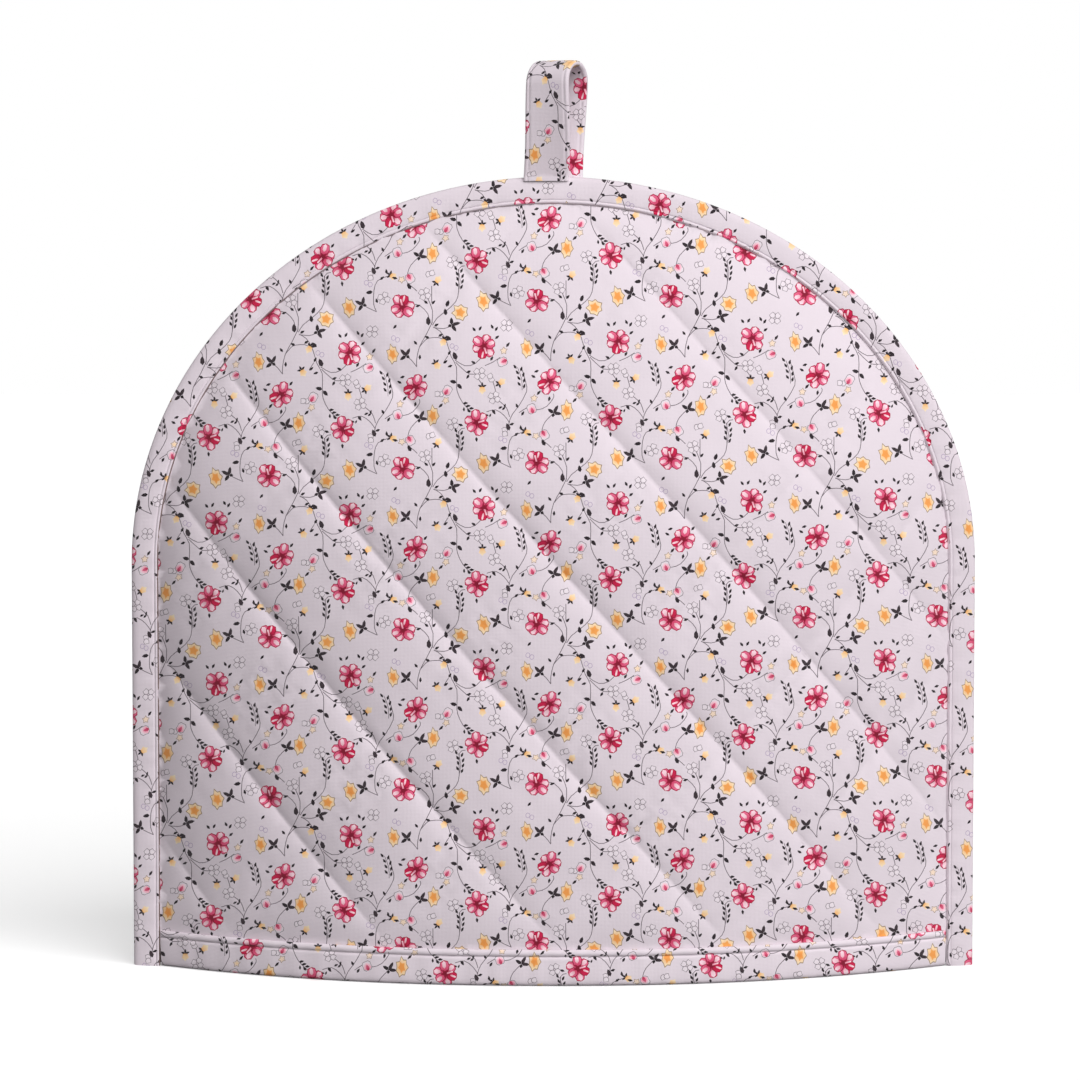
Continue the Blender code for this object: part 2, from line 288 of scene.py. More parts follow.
class Print:
    """The shapes of one repeat, in squares with y upwards, each with its two colours."""

    def __init__(self):
        self.outlines, self.facts = [], []

    def add(self, outline, centre, reach, near, far):
        """A shape that goes from one colour at the centre to another at the reach."""
        x, y = outline[:, 0], outline[:, 1]
        area = (x * np.roll(y, -1) - np.roll(x, -1) * y).sum()
        self.outlines.append(outline if area > 0 else outline[::-1])
        self.facts.append((*centre, reach, *near, *far))

    def leaf(self, at, turn, long, wide):
        outline = spun(lens(long, wide), turn, at)
        self.add(outline, outline.mean(0), long / 2, LEAF_LIT if long > 5 else LEAF_DARK, LEAF_DARK)

    def outlined(self, outline, at, share, line, near, far, reach):
        """A thin line round a lighter middle."""
        self.add(outline, at, 1.0, line, line)
        self.add((outline - at) * share + at, at, reach, near, far)

    def red_flower(self, at, turn):
        """Six uneven petals, each a dark rim, a pink middle and a pale sheen."""
        for i in (0, 2, 4, 1, 3, 5):
            size = 1.08 + 0.09 * math.sin(2.3 * i + turn)
            angle = turn + i * 60 + 7 * math.sin(3.1 * i + turn)
            middle, shine = spun([(4.3 * size, 0), (5.1 * size, 0.2)], angle, at)
            rim = rounded(8, 7.2 * size, 7.2, 0.06, 2)
            self.add(spun(rim, angle, middle), at, 8.6, CRIMSON_DARK, CRIMSON)
            near, far = (CRIMSON, CRIMSON_LIT) if i == 3 else (PETAL_DEEP, PETAL)
            self.add(spun(rim * 0.84, angle, middle), at, 7.0, near, far)
            wide = 1.4 if i == 3 else 3.3 - 0.6 * (i % 2)
            sheen = spun(rounded(6, 4.5 * size, wide), angle, shine)
            self.add(sheen, at, 6.2, PETAL_DEEP, PETAL_PALE)
        self.add(spun(rounded(10, 7.2, 6.2, 0.5, 2), turn, at), at, 3.8, CRIMSON_DARK, CRIMSON)
        fold = [(0.8, -0.5), (4.9, 0.0), (5.1, 1.0), (1.0, 0.6)]
        self.add(spun(fold, turn + 208, at), at, 5.0, PETAL, PETAL_PALE)

    def amber_flower(self, at, wide, tall, turn):
        """Seven pointed petals in a thin line, deep at the heart and pale at the tips."""
        tips = rounded(14, wide, tall) * AMBER_TIPS[:, None]
        self.outlined(spun(tips, turn, at), at, 0.88, TAN_LINE, AMBER, CREAM, tall * 0.55)
        heart = rounded(10, wide * 0.66, tall * 0.66, 0.42, 2)
        self.add(spun(heart, turn + 12, at), at, tall * 0.34, AMBER_DEEP, AMBER)

    def amber_bud(self, at, turn):
        outline = spun(rounded(10, 6.4, 5.0, 0.3, 2), turn, at)
        foot = spun([(1.9, 0)], turn, at)[0]
        self.add(outline, foot, 5.4, AMBER, CREAM)
        for side in (-70, 0, 70):
            self.leaf(foot, turn + side, 3.0, 1.5)

    def pink_bud(self, at, turn):
        outline = spun(rounded(12, 7.6, 6.8, 0.16, 3), turn, at)
        self.outlined(outline, at, 0.89, LINE_GREY, WHITE_PETAL, CLOTH, 3.8)
        foot = spun([(-3.3, 0)], turn, at)[0]
        self.add(spun(lens(5.6, 4.8), turn, foot), foot, 5.6, PETAL, PETAL_PALE)
        self.add(spun(lens(4.3, 2.1), turn, foot), foot, 4.6, CRIMSON, PETAL)

    def star(self, at, turn):
        outline = spun(rounded(10, 5.6, 5.2, 0.42, 2), turn, at)
        self.outlined(outline, at, 0.78, TAN_LINE, AMBER_PALE, WHITE_PETAL, 2.4)
        self.leaf(spun([(2.6, 0)], turn, at)[0], turn, 4.0, 1.8)

    def blossom(self, at, count):
        """Two or four round petals, each with one notch."""
        for i in range(count):
            away, turn = 0 if count == 2 and i == 0 else 2.6, 90 * i + 20 * at[0]
            middle = spun([(away, 0)], turn, at)[0]
            outline = spun(rounded(7, 4.8, 4.1, 0.42, 7), turn, middle)
            self.outlined(outline, middle, 0.82, LINE_GREY, WHITE_PETAL, CLOTH, 2.4)

    def strip(self, points, wide=0.46):
        """A stem, as one four-sided shape for each step along a smooth curve."""
        line = smooth(points, 2)
        along = np.gradient(line, axis=0)
        side = np.stack([-along[:, 1], along[:, 0]], 1) / np.hypot(*along.T)[:, None] * wide / 2
        left, right = line + side, line - side
        for i in range(len(line) - 1):
            corners = np.stack([right[i], right[i + 1], left[i + 1], left[i]])
            self.add(corners, line[i], 1.0, STEM_GREY, STEM_GREY)


def smooth(points, steps):
    """A curve through the points, with steps points for each span, by Catmull and Rom's rule."""
    rows = np.asarray(points, float)
    ends = np.concatenate([2 * rows[:1] - rows[1:2], rows, 2 * rows[-1:] - rows[-2:-1]])
    a, b, c, d = ends[:-3, None], ends[1:-2, None], ends[2:-1, None], ends[3:, None]
    t = (np.arange(steps) / steps)[None, :, None]
    square, cube = 2 * a - 5 * b + 4 * c - d, 3 * b - a - 3 * c + d
    spans = 0.5 * (2 * b + (c - a) * t + square * t**2 + cube * t**3)
    return np.concatenate([spans.reshape(-1, rows.shape[1]), rows[-1:]])


def charted():
    """The whole repeat, lowest shapes first."""
    chart = Print()
    for points in STEMS:
        chart.strip(np.array(points) * (1, -1))
    for x, y, count in BLOSSOMS:
        chart.blossom(np.array([x, -y]), count)
    for x, y in LILAC_RINGS:
        for side in (-1.3, 1.3):
            at = np.array([x + side, -y - side / 2])
            chart.outlined(at + rounded(7, 3.2, 3.6), at, 0.80, LILAC_LINE, CLOTH, CLOTH, 3)
    for (x, y), (end_x, end_y), count in SPRAYS:
        stem = [(x, -y), ((x + end_x) / 2 + 1.2, -(y + end_y) / 2), (end_x, -end_y)]
        chart.strip(stem, 0.36)
        line, lean = smooth(stem, count), 90 + (x - end_x) * 4
        for i in range(count):
            side = 1 if i % 2 else -1
            chart.leaf(line[i * 2 + 1] - (side * 0.9, 0), lean + side * 26, 3.5, 1.7)
    for x, y, turn, long in LEAVES:
        chart.leaf(np.array([x, -y]), turn, long * 1.15, long * 0.6)
    for x, y, turn in TRIPLE_LEAVES:
        for side, long in ((0, 5.8), (-68, 5.4), (84, 4.8), (-160, 2.8)):
            chart.leaf(np.array([x, -y]), turn + 180 + side, long, 2.3)
    for draw, places in (
        (chart.star, STARS), (chart.pink_bud, PINK_BUDS), (chart.amber_bud, AMBER_BUDS),
        (chart.amber_flower, AMBER_FLOWERS), (chart.red_flower, RED_FLOWERS),
    ):
        for x, y, *how in places:
            draw(np.array([x, -y]), *how)
    return chart


CHART = charted()


def repeated(low, high, shift, wanted, laid):
    """Every shape of the print in a region: its outline, laid on the cloth, and its facts."""
    points = np.concatenate(CHART.outlines)
    sizes = np.array([len(outline) for outline in CHART.outlines])
    starts = np.concatenate([[0], sizes.cumsum()[:-1]])
    facts = np.array(CHART.facts)
    corner = np.array(CHART_CORNER) + shift
    first = np.floor((np.array(low) - corner) / SQUARE / REPEAT).astype(int) - 1
    last = np.ceil((np.array(high) - corner) / SQUARE / REPEAT).astype(int) + 1
    outlines, kept = [], []
    for column in range(first[0], last[0] + 1):
        for row in range(first[1], last[1] + 2):
            move = np.array([column, row]) * REPEAT
            place = laid(corner + (points + move) * SQUARE)
            centre = laid(corner + (facts[:, :2] + move) * SQUARE)
            inside = np.logical_or.reduceat(wanted(*place.T), starts)
            for i in np.flatnonzero(inside):
                outlines.append(place[starts[i] : starts[i] + sizes[i]])
                kept.append((*centre[i], facts[i, 2] * SQUARE, *facts[i, 3:]))
    return outlines, np.array(kept)


def laid_on(place):
    """Where the chart falls on the front. Seen from the camera, its rows climb to the right."""
    x, z = place.T
    z = z + DRIFT * x - DRIFT_LOSS / 2 * x**2
    on_x, on_z = x, z
    for _ in range(3):
        near = (PRINT_DEPTH + corner_bulk(on_z) + bulge(on_x, on_z)) / -EYE.y
        on_x, on_z = x + (EYE.x - x) * near, z + (EYE.z - z) * near
    return np.stack([on_x, on_z], 1)


def cut_out(border, outlines, facts, lines=(), extra=np.empty((0, 2))):
    """Cuts a flat sheet along its print and some lines: points, triangles, corner colours."""
    rings = [border, *outlines]
    starts = np.cumsum([0] + [len(run) for run in [*rings, *lines]])
    points = np.concatenate([*rings, *lines, extra]) * 1000
    runs = [list(range(start, end)) for start, end in zip(starts, starts[1:])]
    faces = runs[: len(rings)]
    edges = [pair for run in runs[len(rings) :] for pair in zip(run, run[1:])]
    made = delaunay_2d_cdt([Vector(p) for p in points], edges, faces, 1, 1e-3)
    flat = np.array(made[0]) / 1000
    whole = np.array([0 in origin for origin in made[5]])
    shape = np.array([max(origin, default=0) for origin in made[5]])[whole] - 1
    triangles = np.array(made[2])[whole]
    colours = np.full((len(triangles), 3, 3), CLOTH)
    inked = shape >= 0
    fact = facts[shape[inked]]
    reach = flat[triangles[inked]] - fact[:, None, :2]
    share = np.clip(np.hypot(reach[..., 0], reach[..., 1]) / fact[:, 2:3], 0, 1)[..., None]
    colours[inked] = fact[:, None, 3:6] * (1 - share) + fact[:, None, 6:9] * share
    used, triangles = np.unique(triangles, return_inverse=True)
    return flat[used], triangles.reshape(-1, 3), colours


def open_edges(triangles):
    """The edges that only one triangle has, in the order in which it runs."""
    edges = np.concatenate([triangles[:, [0, 1]], triangles[:, [1, 2]], triangles[:, [2, 0]]])
    code = edges.min(1) * (edges.max() + 1) + edges.max(1)
    _, first, count = np.unique(code, return_index=True, return_counts=True)
    return edges[first[count == 1]]


def band(near, far):
    """Two triangles for each edge between two rows of edges, each given as its edges' ends."""
    (near_a, near_b), (far_a, far_b) = near, far
    return np.concatenate([
        np.stack([near_b, near_a, far_a], 1), np.stack([near_b, far_a, far_b], 1),
    ])


def seam_out(x, z):
    """How far each point lies outside the seam, and the seam's direction outwards there."""
    side, up = np.abs(x), np.maximum(z - SIDE_HEIGHT, 0)
    turn = np.arctan2(up * SEAM_HALF, side * SEAM_RISE)
    for _ in range(6):
        cos, sin = np.cos(turn), np.sin(turn)
        off_x, off_z = SEAM_HALF * cos - side, SEAM_RISE * sin - up
        slope = off_z * SEAM_RISE * cos - off_x * SEAM_HALF * sin
        bend = (SEAM_HALF * sin) ** 2 + (SEAM_RISE * cos) ** 2
        bend = bend - off_x * SEAM_HALF * cos - off_z * SEAM_RISE * sin
        turn = np.clip(turn - slope / np.maximum(bend, 1e-4), 0, math.pi / 2)
    cos, sin = np.cos(turn), np.sin(turn)
    size = np.hypot(SEAM_RISE * cos, SEAM_HALF * sin)
    across, rise = SEAM_RISE * cos / size, SEAM_HALF * sin / size
    out = (side - SEAM_HALF * cos) * across + (up - SEAM_RISE * sin) * rise
    return out, across * np.sign(x), rise


def radius(x, z):
    return np.hypot(x / SEAM_HALF, np.maximum(z - SIDE_HEIGHT, 0) / SEAM_RISE)


def bulge(x, z):
    """How far the cloth stands off the middle plane: most at the middle of the hem."""
    full = BULGE * (1 - BULGE_LOSS * (z / HEIGHT) ** 2)
    return full * np.maximum(1 - radius(x, z) ** BULGE_POWER, 0)


def corner_bulk(z):
    """What the hem's inner ply adds, dying out above it."""
    share = np.clip((z - CORNER_BULK) / CORNER_FADE, 0, 1)
    return HEM_ROOM * (0.5 + 0.5 * np.cos(math.pi * share))


def laid_flat(x, z, steps=40):
    """The distance round the cloth from the middle to each point."""
    places = x[:, None] * np.linspace(0, 1, steps + 1)
    depths = bulge(places, z[:, None])
    return np.sign(x) * np.hypot(np.diff(places), np.diff(depths)).sum(1)


def puckers(along, long, drift, turns, phase=0):
    """A wave of about one length. Its phase drifts, so that no two puckers are alike."""
    return np.sin(2 * math.pi * along / long + drift * np.sin(turns * along) + phase)


def crease(place, along, share):
    """What one set of stitched lines leaves of the puff, and its small puckers."""
    off = np.abs(place - np.round(place)) * LINE_SPACING
    near = CREASE_ROUND - np.hypot(off, CREASE_ROUND)
    left = 1 - share * (np.exp(near / CREASE_WIDE) + NOTCH_SHARE * np.exp(near / NOTCH_WIDE))
    wave = puckers(along, PUCKER_LONG, 5, 61, PUCKER_STEP * np.round(place))
    reach = np.exp(-off / PUCKER_REACH) * off / PUCKER_REACH * (1 - 2 * off / LINE_SPACING)
    return left, wave * reach


def relief(x, z):
    """The puff, 0 at a seam to about 1, and the outer cloth's uneven swelling in metres."""
    held = 1 - np.exp(np.minimum(seam_out(x, z)[0], 0) / SEAM_DRAW)
    held = held * (1 - np.exp(np.minimum(HEM_HEIGHT - z, 0) / HEM_DRAW))
    flat = laid_flat(x, z)
    up, across = (z - QUILT_FOOT) / QUILT_UP, flat / QUILT_ACROSS
    first, pucker = crease(up + across, z - flat, FIRST_SHARE)
    second, pucker_two = crease(up - across, z + flat, SECOND_SHARE)
    broad, cross, fine = (np.sin(a * flat + b * z + phase) for a, b, phase in SWELLS)
    uneven = PUCKER_DEEP * (pucker + pucker_two) + SWELL_DEEP * (broad * cross + 0.5 * fine)
    return held * first * second, held * uneven


def outer_face(x, z):
    puff, uneven = relief(x, z)
    depth = GAP / 2 + corner_bulk(z) + bulge(x, z) + SEWN_THICK + OUTER_PUFF * puff + uneven
    return np.stack([x, -depth, z], 1)


def inner_face(x, z):
    puff, _ = relief(x, z)
    depth = GAP / 2 + corner_bulk(z) + bulge(x, z) - INNER_PUFF * puff
    return np.stack([x, -depth, z], 1)


def facing(place, u, v, side=1, step=1e-4):
    """Unit normals of a surface, from two short steps along it."""
    here = place(u, v)
    normal = np.cross(place(u + step, v) - here, place(u, v + step) - here) * side
    return normal / np.maximum(np.linalg.norm(normal, axis=1), 1e-12)[:, None]


def grid(low, high, step):
    """Points in staggered rows."""
    rows = np.arange(low[1], high[1], step * ROW_SHARE)
    x, z = np.meshgrid(np.arange(low[0], high[0], step), rows)
    x = x + step / 2 * (np.arange(len(x))[:, None] % 2)
    return np.stack([x.ravel(), z.ravel()], 1)


def seam_path(out, foot, step):
    """Points at one distance outside the seam, from the right side's foot over to the left's."""
    turn = np.linspace(0, math.pi, round(SEAM_HALF * math.pi / step))
    over = np.stack([SEAM_HALF * np.cos(turn), SIDE_HEIGHT + SEAM_RISE * np.sin(turn)], 1)
    normal = np.stack([SEAM_RISE * np.cos(turn), SEAM_HALF * np.sin(turn)], 1)
    over += out * normal / np.hypot(*normal.T)[:, None]
    up = np.linspace(foot, SIDE_HEIGHT, round((SIDE_HEIGHT - foot) / step), endpoint=False)
    right = np.stack([np.full_like(up, SEAM_HALF + out), up], 1)
    return np.concatenate([right, over, right[::-1] * (-1, 1)])


def panel_border(out, foot, step):
    """The outline of a panel, out beyond its seam and down to a foot, anticlockwise."""
    half = SEAM_HALF + out
    along = np.linspace(-half, half, round(2 * half / step), endpoint=False)[1:]
    bottom = np.stack([along, np.full_like(along, foot)], 1)
    return np.concatenate([bottom, seam_path(out, foot, step)])


def quilt_rows(side, step, places, kept):
    """Rows of points on one set of stitched lines or beside it, where the relief turns fast."""
    rows = []
    flat = np.arange(-WIDTH * 0.75, WIDTH * 0.75, step)
    for line in range(-4, 9):
        for beside in places:
            z = QUILT_FOOT + (line + beside - side * flat / QUILT_ACROSS) * QUILT_UP
            low = (z > 0) & (z < HEIGHT)
            row = np.stack([stood_up(flat[low], z[low]), z[low]], 1)
            rows.append(row[kept(*row.T)])
    return rows


def stood_up(flat, z, turns=7):
    """The place x of each point that was laid flat. Each turn takes most of the error away."""
    x = np.clip(flat, -SEAM_HALF, SEAM_HALF) * 0.95
    for _ in range(turns):
        x = x - (laid_flat(x, z) - flat) * 0.85
    return x


def panel_cut():
    """A panel's printed face, cut along its print: flat points, triangles, corner colours."""
    border = panel_border(TUCK, HEM_HEIGHT - HEM_TUCK, STEP)
    low, high = border.min(0), border.max(0)
    def inside(x, z):
        return (seam_out(x, z)[0] < TUCK / 4) & (z > HEM_HEIGHT - HEM_TUCK / 4)
    def kept(x, z):
        return (seam_out(x, z)[0] < TUCK - STEP / 3) & (z > low[1] + STEP / 3)
    lines = quilt_rows(1, QUILT_STEPS[0], (-BESIDE, 0, BESIDE), kept)
    even = grid(low, high, STEP)
    extra = [even[kept(*even.T)], *quilt_rows(1, QUILT_STEPS[0], (-SHOULDER, SHOULDER), kept)]
    places = (-SHOULDER, -BESIDE, 0, BESIDE, SHOULDER)
    extra += quilt_rows(-1, QUILT_STEPS[1], places, kept)
    outlines, facts = repeated(low, high, (0, 0), inside, laid_on)
    return cut_out(border, outlines, facts, lines, np.concatenate(extra))


def add_piece(name, points, faces, colours, normals, maps, material, close=False):
    """A mesh object whose faces are triangles, with its print as corner colours."""
    mesh = bpy.data.meshes.new(name)
    mesh.from_pydata(points, [], faces)
    mesh.update()
    ink = mesh.color_attributes.new("Print", "FLOAT_COLOR", "CORNER")
    values = np.concatenate([colours.reshape(-1, 3), np.ones((colours.size // 3, 1))], 1)
    ink.data.foreach_set("color", values.ravel())
    for label, uv in zip(("Cloth", "OFBake"), maps):
        layer = mesh.uv_layers.new(name=label)
        layer.uv.foreach_set("vector", uv.reshape(-1))
    if close:
        normals = closed_up(mesh, normals)
    mesh.shade_smooth()
    mesh.normals_split_custom_set_from_vertices(normals)
    mesh.materials.append(material)
    thing = bpy.data.objects.new(name, mesh)
    bpy.context.scene.collection.objects.link(thing)
    return thing


MERGE = 2e-6


def closed_up(mesh, normals):
    """Merges a mesh's doubled points and fills its open ends. Gives the normals back."""
    held = mesh.attributes.new("held", "FLOAT_VECTOR", "POINT")
    held.data.foreach_set("vector", normals.ravel())
    shape = bmesh.new()
    shape.from_mesh(mesh)
    bmesh.ops.remove_doubles(shape, verts=shape.verts[:], dist=MERGE)
    rims = [edge for edge in shape.edges if edge.is_boundary]
    made = bmesh.ops.holes_fill(shape, edges=rims, sides=0)["faces"]
    ink = shape.loops.layers.float_color["Print"]
    for face in made:
        for loop in face.loops:
            loop[ink] = (*PLAIN_CLOTH, 1)
    bmesh.ops.triangulate(shape, faces=made)
    bmesh.ops.dissolve_degenerate(shape, dist=MERGE, edges=shape.edges[:])
    shape.to_mesh(mesh)
    shape.free()
    normals = np.empty(len(mesh.vertices) * 3)
    mesh.attributes["held"].data.foreach_get("vector", normals)
    mesh.attributes.remove(mesh.attributes["held"])
    return normals.reshape(-1, 3)


class Wire:
    """A socket of a material, on which arithmetic adds Math nodes."""

    def __init__(self, tree, socket):
        self.tree, self.socket = tree, socket

    def node(self, kind, settings, **values):
        """Adds a node, sets it up, and joins or fills its inputs by name."""
        made = self.tree.nodes.new(kind)
        for key, value in settings.items():
            setattr(made, key, value)
        for key, value in values.items():
            socket = made.inputs[int(key[1:]) if key[1:].isdigit() else key.replace("_", " ")]
            if isinstance(value, Wire):
                self.tree.links.new(value.socket, socket)
            else:
                socket.default_value = value
        return made

    def sum(self, operation, first, second):
        made = self.node("ShaderNodeMath", {"operation": operation}, _0=first, _1=second)
        return Wire(self.tree, made.outputs[0])

    def __add__(self, other):
        return self.sum("ADD", self, other)

    def __mul__(self, other):
        return self.sum("MULTIPLY", self, other)

    __radd__, __rmul__ = __add__, __mul__


THREAD, THREAD_STRAY = 0.00052, 0.6  # the spacing of the weave's threads
WAVE_TURN = 2 * math.pi / 20  # a wave texture's length at a scale of 1
WEAVE_DEEP, WEAVE_STRENGTH = 0.00012, 0.35
MOTTLE_SCALE, MOTTLE_SHARE = 55.0, 0.07
SLUB_SCALE, SLUB_SHARE = 900.0, 0.9  # the threads' unevenness
ROUGH, ROUGH_SHARE = 0.84, 0.08
SHINE, SHEEN, SHEEN_ROUGH = 0.3, 0.12, 0.6


def woven(name):
    """Printed cotton: its print, faint mottling, and a fine weave that only bends the light."""
    material = bpy.data.materials.new(name)
    material.use_nodes = True
    tree = material.node_tree
    shader = tree.nodes["Principled BSDF"]
    start = Wire(tree, None)
    ink = start.node("ShaderNodeAttribute", {"attribute_name": "Print"}).outputs["Color"]
    flat = Wire(tree, start.node("ShaderNodeUVMap", {"uv_map": "Cloth"}).outputs["UV"])
    place = Wire(tree, start.node("ShaderNodeTexCoord", {}).outputs["Object"])
    def noise(scale, detail, vector=place):
        made = start.node("ShaderNodeTexNoise", {}, Vector=vector, Scale=scale, Detail=detail)
        return Wire(tree, made.outputs[0])
    def threads(direction):
        made = start.node(
            "ShaderNodeTexWave", {"wave_type": "BANDS", "bands_direction": direction},
            Vector=flat, Scale=WAVE_TURN / THREAD, Distortion=THREAD_STRAY,
        )
        return Wire(tree, made.outputs["Fac"])
    mottle = MOTTLE_SHARE * noise(MOTTLE_SCALE, 3.0)
    slub = noise(SLUB_SCALE, 2.0, flat)
    value = 1 - MOTTLE_SHARE / 2 + mottle
    shade = start.node("ShaderNodeHueSaturation", {}, Color=Wire(tree, ink), Value=value)
    tree.links.new(shade.outputs[0], shader.inputs["Base Color"])
    height = threads("X") * 0.5 + threads("Y") * 0.5 + slub * SLUB_SHARE
    bump = start.node(
        "ShaderNodeBump", {}, Strength=WEAVE_STRENGTH, Distance=WEAVE_DEEP, Height=height
    )
    tree.links.new(bump.outputs[0], shader.inputs["Normal"])
    rough = ROUGH + slub * ROUGH_SHARE
    tree.links.new(rough.socket, shader.inputs["Roughness"])
    shader.inputs["Specular IOR Level"].default_value = SHINE
    shader.inputs["Sheen Weight"].default_value = SHEEN
    shader.inputs["Sheen Roughness"].default_value = SHEEN_ROUGH
    return material


BAKE_PANEL, BAKE_LINING = 0.80, 0.18  # the shares of the colour map's side that each takes
BAKE_MARGIN = 0.01


def panel_parts():
    """Everything about a panel that faces -Y: points, faces, colours, normals and maps."""
    flat, triangles, colours = panel_cut()
    edges = open_edges(triangles)
    rim, place = np.unique(edges, return_inverse=True)
    place = place.reshape(-1, 2).T
    inner = grid(flat.min(0), flat.max(0), LINING_STEP)
    keep = (seam_out(*inner.T)[0] < TUCK - LINING_STEP / 2) & (inner[:, 1] > HEM_HEIGHT)
    points = np.concatenate([flat[rim], inner[keep]])
    made = delaunay_2d_cdt([Vector(p) for p in points * 1000], place.T.tolist(), [], 1, 1e-4)
    lining = np.array(made[0]) / 1000
    back = np.array(made[2])[:, ::-1]
    count, rims = len(flat), len(rim)
    if not np.allclose(lining[:rims], flat[rim], atol=1e-6):
        raise RuntimeError("the lining's rim moved")
    out, across, rise = seam_out(*flat[rim].T)
    low = flat[rim, 1] < HEM_HEIGHT - HEM_TUCK + 1e-6
    tip_x = flat[rim, 0] + np.where(low & (out < TUCK - 1e-5), 0, across * (TIP_OUT - TUCK))
    tip_z = np.where(low, HEM_FOLD + GAP, flat[rim, 1] + rise * (TIP_OUT - TUCK))
    tips = outer_face(tip_x, tip_z) + (0, SEWN_THICK / 2, 0)
    over = [band(edges.T, place + count), band(place + count, place + count + rims)]
    faces = np.concatenate([triangles, *over, back + count + rims])
    points = np.concatenate([outer_face(*flat.T), tips, inner_face(*lining.T)])
    tip_normals = np.stack([across, 0 * across, rise], 1)
    tip_normals /= np.linalg.norm(tip_normals, axis=1)[:, None]
    normals = np.concatenate([
        facing(outer_face, *flat.T), tip_normals, -facing(inner_face, *lining.T)
    ])
    plain = np.full((len(faces) - len(triangles), 3, 3), PLAIN_CLOTH)
    maps = np.concatenate([flat, np.stack([tip_x, tip_z], 1), lining])
    cloth = np.stack([laid_flat(*maps.T), maps[:, 1]], 1)[faces]
    span = (maps.max(0) - maps.min(0)).max()
    bake = ((maps - maps.min(0)) / span)[faces]
    bake[: len(triangles)] *= BAKE_PANEL
    corner = (BAKE_PANEL + BAKE_MARGIN, BAKE_MARGIN)
    bake[len(triangles) :] = bake[len(triangles) :] * BAKE_LINING + corner
    return points, faces, np.concatenate([colours, plain]), normals, (cloth, bake)


PANEL = panel_parts()
cotton = woven("printed_cotton")
front_panel = add_piece("front_panel_cloth", *PANEL, cotton)
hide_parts("front_panel")
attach(front_panel, "root")


# --- Back panel --------------------------------------------------------------------------
# Cut and quilted like the front, and stood the other way round.

half_turn = np.array([-1, -1, 1])
back_panel = add_piece(
    "back_panel_cloth", PANEL[0] * half_turn, *PANEL[1:3], PANEL[3] * half_turn, PANEL[4], cotton
)
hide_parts("back_panel")
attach(back_panel, "root")


# --- Edge binding ------------------------------------------------------------------------
# A tape of the same print, folded over the raw edges of both panels and sewn down near its
# inner edge. The stitching sinks a groove beside a small ridge, and puckers the tape.

SLOT = GAP / 2 + SEWN_THICK + GAP
BINDING_LIP = 0.0001
BINDING_ROWS = (  # (out from the seam, depth), from the lip over the ridge and groove to the fold
    (BINDING_LIP, 0.0032), (0.0005, 0.0036), (0.0009, 0.0039), (0.0013, 0.0039),
    (0.0018, 0.0034), (0.0024, 0.00365), (0.0046, 0.0034), (0.0068, 0.0029),
    (0.0088, 0.0023), (0.0099, 0.0017), (0.0105, 0.0011), (BINDING_WIDTH, 0.0),
)
BINDING_ROUND = smooth(BINDING_ROWS, 8)
EDGE_LINE = 0.0006  # the width out of the seam that the painted shade line along the turned edge reaches
PAINTED_SEAM_SHADE = np.array(dye(105, 84, 80))  # painted shade of the gap beside the turned edge: darkest at the left, fading out towards the right
BINDING_CUTS = (EDGE_LINE, 0.0009, 0.0013, 0.0016, 0.0019, 0.0024, 0.0032, 0.0045, 0.0062, 0.0078)
BINDING_EDGES = (0.0089, 0.0096, 0.0101, 0.0104, 0.0106)
SLOT_KNEE, SLOT_END, SLOT_DROP = TUCK + 0.0004, TIP_OUT + GAP, 0.00125
TAPE_PUCKER, TAPE_PUCKER_LONG = 0.00013, 0.0085
TAPE_PUCKER_OUT, TAPE_PUCKER_REACH = 0.0035, 0.003
FOLD_DEEP = 0.002  # nearer the fold than this depth, bulk and puckers die out
BINDING_STEP = 0.0030
DOME_RADIUS = (SEAM_HALF + SEAM_RISE) / 2
BINDING_LONG = 2 * SIDE_HEIGHT + math.pi * DOME_RADIUS
TAPE_SHIFT = (0.0162, -0.0105)


def round_the_seam(x, z):
    """The distance along the seam, from the right side's foot over to the left's."""
    up = np.maximum(z - SIDE_HEIGHT, 0)
    right = np.minimum(z, SIDE_HEIGHT) + np.arctan2(up, np.abs(x)) * DOME_RADIUS
    return np.where(x < 0, BINDING_LONG - right, right)


def tape_wave(along, out):
    """The puckers that the stitching leaves, strongest beside it."""
    reach = np.exp(-np.abs(out - TAPE_PUCKER_OUT) / TAPE_PUCKER_REACH)
    return TAPE_PUCKER * puckers(along, TAPE_PUCKER_LONG, 3, 37) * reach


def binding_face(x, z):
    """The tape's front: its points and normals."""
    out, across, rise = seam_out(x, z)
    along = round_the_seam(x, z)
    outs, depths = BINDING_ROUND.T
    depth = np.interp(out, outs, depths)
    tilt_out, tilt_depth = -np.gradient(depths), np.gradient(outs)
    size = np.hypot(tilt_out, tilt_depth)
    tilt_out = np.interp(out, outs, tilt_out / size)
    tilt_depth = np.interp(out, outs, tilt_depth / size)
    inner = np.minimum(depth / FOLD_DEEP, 1)
    thick = depth + corner_bulk(z) * inner + tape_wave(along, out) * inner
    lean = (tape_wave(along + 1e-4, out) - tape_wave(along, out)) / 1e-4 * tilt_depth
    normals = np.stack([
        tilt_out * across + lean * rise, -tilt_depth, tilt_out * rise - lean * across,
    ], 1)
    return np.stack([x, -thick, z], 1), normals / np.linalg.norm(normals, axis=1)[:, None]


